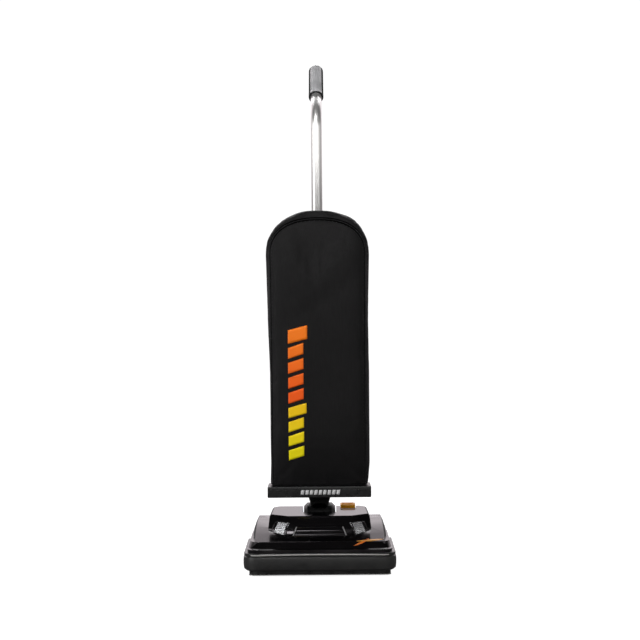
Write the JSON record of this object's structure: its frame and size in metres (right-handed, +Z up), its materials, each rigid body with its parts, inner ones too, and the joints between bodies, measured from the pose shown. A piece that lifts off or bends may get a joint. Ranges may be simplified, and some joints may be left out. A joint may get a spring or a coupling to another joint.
{
  "type": "upright vacuum cleaner",
  "caption": "Lightweight upright vacuum cleaner: low wheeled nozzle base with spinning brush, reclining handle with a cloth dust bag, chromed tube and bent grip.",
  "frame": {"origin": "on the floor, under the middle of the machine's box", "axes": "+Z up, -Y the front of the nozzle, +X to the right seen from the front"},
  "size_m": [0.335, 0.352, 1.175],
  "materials": {
    "gloss_housing": "polished moulded plastic",
    "black_plastic": "satin moulded plastic",
    "bumper_vinyl": "soft satin vinyl",
    "chrome_tube": "bright plated steel",
    "grip_vinyl": "matt grey moulded grip",
    "bag_nylon": "woven nylon with a slight sheen",
    "filter_paper": "soft filter paper",
    "orange_plastic": "moulded, slight gloss",
    "lens": "clear prismatic plastic",
    "steel": "zinc plated",
    "motor_metal": "cast, satin",
    "winding_copper": "wound copper and steel",
    "grey_plastic": "moulded",
    "wheel_rubber": "moulded tread",
    "belt_rubber": "flat belt",
    "brush_wood": "turned, lacquered",
    "bristle_nylon": "stiff bristle"
  },
  "bodies": {
    "base": {"base_chassis": "black_plastic", "sole_plate": "steel", "sole_screw_left_1": "steel", "sole_screw_left_2": "steel", "sole_screw_right_1": "steel", "sole_screw_right_2": "steel", "bumper": "bumper_vinyl", "hood": "gloss_housing", "hood_screw_left": "steel", "hood_screw_right": "steel", "headlight_lens_left": "lens", "headlight_lens_right": "lens", "headlamp_left": "lens", "headlamp_right": "lens", "motor_can": "motor_metal", "fan_case": "grey_plastic", "intake_duct": "grey_plastic", "outlet_duct": "grey_plastic", "drive_belt": "belt_rubber", "brush_bearing_left": "steel", "brush_bearing_right": "steel", "rear_axle": "steel", "roller_pin_left": "steel", "roller_pin_right": "steel", "pivot_bracket_left": "steel", "pivot_bracket_right": "steel", "pedal_pin": "steel", "pedal_spring": "steel", "spring_seat": "grey_plastic"},
    "handle": {"handle_knuckle": "black_plastic", "handle_tube": "chrome_tube", "handle_grip": "grip_vinyl", "handle_bolt": "steel", "handle_nut": "steel", "bag_bar": "black_plastic", "bag_collar": "grey_plastic", "outer_bag": "bag_nylon", "paper_bag": "filter_paper", "bag_hanger": "black_plastic", "cord_hook_lower": "black_plastic", "hook_clamp_upper": "black_plastic", "switch_case": "black_plastic", "cord_gland": "black_plastic"},
    "motor_rotor": {"motor_armature": "winding_copper", "motor_pulley": "steel", "fan_impeller": "grey_plastic"},
    "brush": {"brush_roll": "brush_wood", "bristle_strip_1": "bristle_nylon", "bristle_strip_2": "bristle_nylon"},
    "wheel_left": {"rear_wheel_left": "wheel_rubber"},
    "wheel_right": {"rear_wheel_right": "wheel_rubber"},
    "roller_left": {"front_roller_left": "wheel_rubber"},
    "roller_right": {"front_roller_right": "wheel_rubber"},
    "pedal": {"release_pedal": "orange_plastic"},
    "rocker": {"power_rocker": "orange_plastic"},
    "cord_hook": {"cord_hook_upper": "black_plastic"}
  },
  "joints": [
    {"name": "recline", "type": "hinge", "parent": "base", "child": "handle", "pos_m": [0, 0.02, 0.104], "axis": [-1, 0, 0], "range_deg": [0, 70]},
    {"name": "pedal_press", "type": "hinge", "parent": "base", "child": "pedal", "pos_m": [0.066, 0.043, 0.1105], "axis": [-1, 0, 0], "range_deg": [0, 10], "stiffness_Nm_per_rad": 0.6, "deforming": ["pedal_spring"]},
    {"name": "power_toggle", "type": "hinge", "parent": "handle", "child": "rocker", "pos_m": [0, 0.0465, 0.936], "axis": [-1, 0, 0], "range_deg": [0, 14]},
    {"name": "cord_release", "type": "hinge", "parent": "handle", "child": "cord_hook", "pos_m": [0, 0.0443, 0.73], "axis": [0, 1, 0], "range_deg": [0, 180]},
    {"name": "motor_spin", "type": "hinge", "parent": "base", "child": "motor_rotor", "pos_m": [0, -0.045, 0.05], "axis": [1, 0, 0], "continuous": true},
    {"name": "brush_spin", "type": "hinge", "parent": "base", "child": "brush", "pos_m": [0, -0.13, 0.0255], "axis": [1, 0, 0], "continuous": true},
    {"name": "wheel_spin_left", "type": "hinge", "parent": "base", "child": "wheel_left", "pos_m": [-0.125, 0.085, 0.028], "axis": [1, 0, 0], "continuous": true},
    {"name": "wheel_spin_right", "type": "hinge", "parent": "base", "child": "wheel_right", "pos_m": [0.125, 0.085, 0.028], "axis": [1, 0, 0], "continuous": true},
    {"name": "roller_spin_left", "type": "hinge", "parent": "base", "child": "roller_left", "pos_m": [-0.075, -0.08, 0.011], "axis": [1, 0, 0], "continuous": true},
    {"name": "roller_spin_right", "type": "hinge", "parent": "base", "child": "roller_right", "pos_m": [0.075, -0.08, 0.011], "axis": [1, 0, 0], "continuous": true}
  ],
  "couplings": [
    {"joint": "brush_spin", "follows": "motor_spin", "ratio": 0.64}
  ]
}
